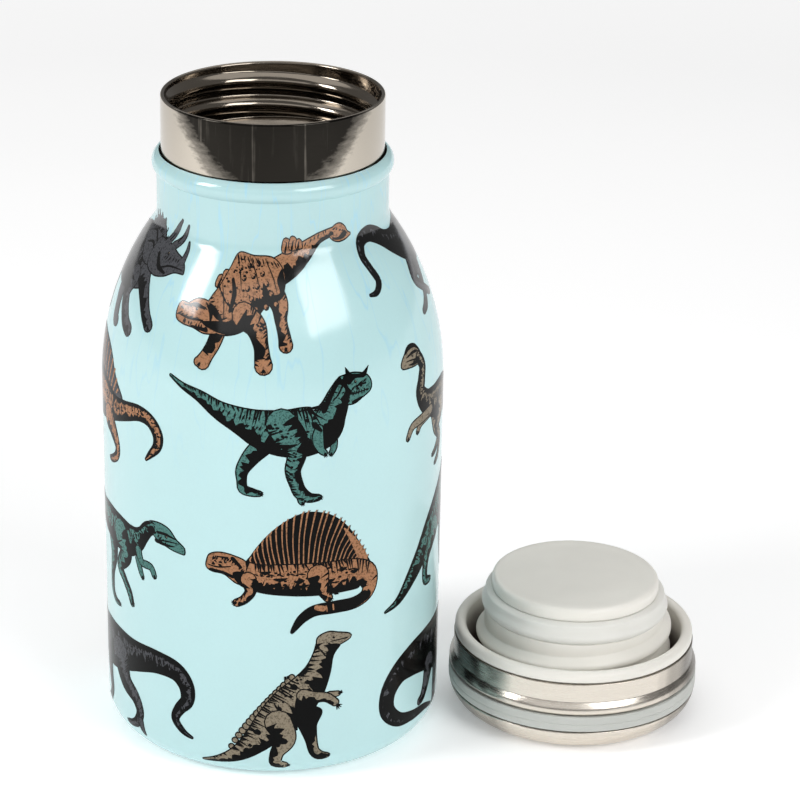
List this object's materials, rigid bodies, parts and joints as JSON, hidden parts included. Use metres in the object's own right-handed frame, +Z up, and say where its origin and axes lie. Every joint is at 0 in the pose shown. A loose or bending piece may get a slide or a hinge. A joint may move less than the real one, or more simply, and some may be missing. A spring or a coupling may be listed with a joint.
{
  "type": "water bottle",
  "caption": "Small double-wall steel drinking bottle with a printed enamel coat, its wide mouth open, and its screw stopper lid upside down beside it.",
  "frame": {"origin": "centre of the bottle's base, on the surface it stands on", "axes": "+Z up along the bottle's axis, +X from the bottle's axis to the axis of the lid that lies beside it"},
  "size_m": [0.1183, 0.066, 0.1283],
  "materials": {
    "enamel": "glossy light aqua enamel with a printed pattern",
    "print": "printed enamel colours under the gloss coat",
    "polished_steel": "mirror-polished stainless steel with fine handling scratches",
    "brushed_steel": "stainless steel, fine turned brushing",
    "inner_steel": "satin stainless steel, electropolished inside",
    "white_plastic": "warm white polypropylene, soft sheen",
    "grip_silicone": "pale grey-blue silicone, satin",
    "seal_silicone": "translucent white silicone, satin",
    "foam": "rigid insulating foam",
    "solder": "dull solder bead"
  },
  "bodies": {
    "bottle": {"outer_shell": "enamel", "neck_collar": "polished_steel", "inner_vessel": "inner_steel", "inner_vessel_base": "inner_steel", "base_plate": "inner_steel", "vacuum_seal": "solder", "getter": "inner_steel", "base_cover": "brushed_steel"},
    "seal_ring": {"stopper_gasket": "seal_silicone"},
    "lid": {"lid_shell": "brushed_steel", "grip_band": "grip_silicone", "lid_liner": "white_plastic", "stopper_body": "white_plastic", "stopper_foam": "foam", "stopper_end_cap": "white_plastic"}
  },
  "joints": [
    {"name": "lid_carry", "type": "hinge", "parent": "bottle", "child": "seal_ring", "pos_m": [0.03025, 0, 0.0795], "axis": [0, -1, 0], "range_deg": [0, 180]},
    {"name": "lid_screw", "type": "hinge", "parent": "seal_ring", "child": "lid", "pos_m": [0.0605, 0, 0], "axis": [0, 0, 1], "range_deg": [0, 540]}
  ]
}
